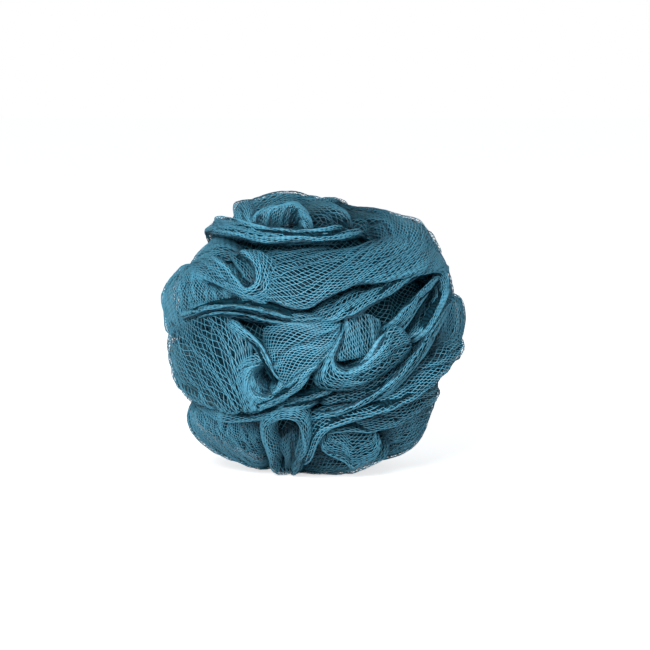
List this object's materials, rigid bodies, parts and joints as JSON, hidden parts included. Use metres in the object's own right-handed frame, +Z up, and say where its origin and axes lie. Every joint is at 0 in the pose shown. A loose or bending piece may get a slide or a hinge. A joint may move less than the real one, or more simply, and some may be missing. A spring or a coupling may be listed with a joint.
{
  "type": "mesh bath pouf",
  "caption": "Ball of soft netting for washing: one tube of mesh gathered into overlapping folds and tied round its middle with a cord.",
  "frame": {"origin": "middle of the ball's box at the level that it rests on, under the flat spot", "axes": "+Z up, -Y towards the side that the picture shows, +X to that side's right"},
  "size_m": [0.1218, 0.1184, 0.1116],
  "materials": {
    "netting": "teal polyethylene netting with a soft satin gloss",
    "cord": "teal twisted cord"
  },
  "bodies": {
    "root": {"netting": "netting", "centre_tie": "cord"}
  },
  "joints": []
}
